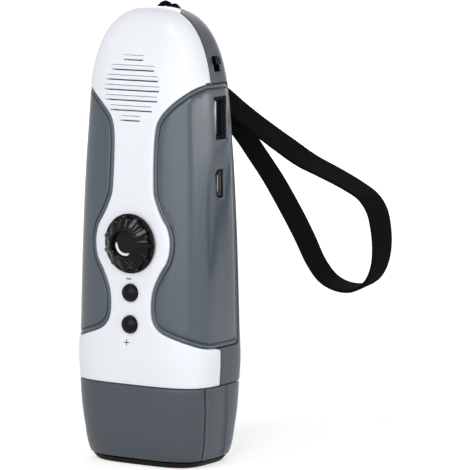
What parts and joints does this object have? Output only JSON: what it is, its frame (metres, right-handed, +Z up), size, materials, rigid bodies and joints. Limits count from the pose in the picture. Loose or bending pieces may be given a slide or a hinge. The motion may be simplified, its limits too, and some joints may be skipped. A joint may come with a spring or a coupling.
{
  "type": "hand crank flashlight",
  "caption": "Upright hand crank flashlight with a domed body, side grips, tuning knob, push buttons, slide switch, sockets, folding crank and wrist strap.",
  "frame": {"origin": "on the ground under the middle of the flashlight, with the lamp end down", "axes": "+Z up towards the dome, -Y out of the front with the tuning knob, +X out of the side with the sockets"},
  "size_m": [0.0994, 0.0494, 0.1514],
  "materials": {
    "white_shell": "smooth gloss white plastic",
    "grey_shell": "satin grey plastic",
    "grip": "satin blue-grey plastic",
    "head": "satin dark grey plastic",
    "black_gloss": "gloss black plastic",
    "black_matte": "matte black plastic",
    "webbing": "woven black nylon",
    "lens": "clear polycarbonate",
    "led": "clear epoxy",
    "reflector": "bright metallised plastic",
    "steel": "bright sheet steel",
    "brass": "turned brass",
    "gear": "natural acetal",
    "board": "green solder mask",
    "cell_wrap": "blue heat-shrink wrap"
  },
  "bodies": {
    "case": {"front_shell": "white_shell", "rear_shell": "grey_shell", "left_grip": "grip", "right_grip": "grip", "lamp_head": "head", "lens_bezel": "black_gloss", "lens": "lens", "reflector": "reflector", "led_board": "board", "led_1": "led", "led_2": "led", "led_3": "led", "tuning_capacitor": "black_matte", "minus_tact_switch": "black_matte", "plus_tact_switch": "black_matte", "main_board": "board", "battery_cell": "cell_wrap", "usb_a_shell": "steel", "usb_a_tongue": "black_matte", "micro_usb_shell": "steel", "micro_usb_tongue": "black_matte", "slide_switch_body": "steel", "speaker_basket": "steel", "speaker_cone": "black_matte", "speaker_magnet": "steel", "crank_bushing": "brass", "compound_pin": "steel", "generator": "steel", "gearbox_plate": "steel", "case_screw_1": "steel", "case_screw_2": "steel", "case_screw_3": "steel", "case_screw_4": "steel", "top_screw_1": "steel", "top_screw_2": "steel", "lanyard_pin": "steel", "lanyard_cord": "webbing", "strap_crimp": "steel", "wrist_strap": "webbing"},
    "crank": {"crank_arm": "grey_shell", "crank_shaft": "steel", "crank_screw": "steel", "drive_gear": "gear", "fold_pin": "steel"},
    "crank_knob": {"knob_axle": "steel"},
    "crank_sleeve": {"knob_sleeve": "grey_shell"},
    "gear_compound": {"compound_gear": "gear"},
    "gear_rotor": {"generator_pinion": "gear"},
    "tuning": {"tuning_knob": "black_gloss", "tuning_shaft": "brass"},
    "minus": {"minus_button": "black_gloss"},
    "plus": {"plus_button": "black_gloss"},
    "switch": {"slide_switch_knob": "black_gloss"}
  },
  "joints": [
    {"name": "crank_spin", "type": "hinge", "parent": "case", "child": "crank", "pos_m": [0, 0.0178, 0.0665], "axis": [0, 1, 0], "continuous": true},
    {"name": "knob_fold", "type": "hinge", "parent": "crank", "child": "crank_knob", "pos_m": [0, 0.01757, 0.0945], "axis": [1, 0, 0], "range_deg": [0, 90]},
    {"name": "sleeve_spin", "type": "hinge", "parent": "crank_knob", "child": "crank_sleeve", "pos_m": [0, 0.01757, 0.083], "axis": [0, 0, 1], "continuous": true},
    {"name": "compound_spin", "type": "hinge", "parent": "case", "child": "gear_compound", "pos_m": [0, 0.0075, 0.0872], "axis": [0, 1, 0], "continuous": true},
    {"name": "rotor_spin", "type": "hinge", "parent": "case", "child": "gear_rotor", "pos_m": [0, 0.0055, 0.1005], "axis": [0, 1, 0], "continuous": true},
    {"name": "tuning_turn", "type": "hinge", "parent": "case", "child": "tuning", "pos_m": [0, -0.0173, 0.0736], "axis": [0, 1, 0], "range_deg": [-135, 135]},
    {"name": "minus_press", "type": "slide", "parent": "case", "child": "minus", "axis": [0, 1, 0], "range_m": [0, 0.0006], "stiffness_N_per_m": 500, "springref_m": -0.0006},
    {"name": "plus_press", "type": "slide", "parent": "case", "child": "plus", "axis": [0, 1, 0], "range_m": [0, 0.0006], "stiffness_N_per_m": 500, "springref_m": -0.0006},
    {"name": "switch_slide", "type": "slide", "parent": "case", "child": "switch", "axis": [0.247, 0, -0.969], "range_m": [0, 0.0022]}
  ],
  "couplings": [
    {"joint": "compound_spin", "follows": "crank_spin", "ratio": -3.6},
    {"joint": "rotor_spin", "follows": "crank_spin", "ratio": 10.08}
  ]
}
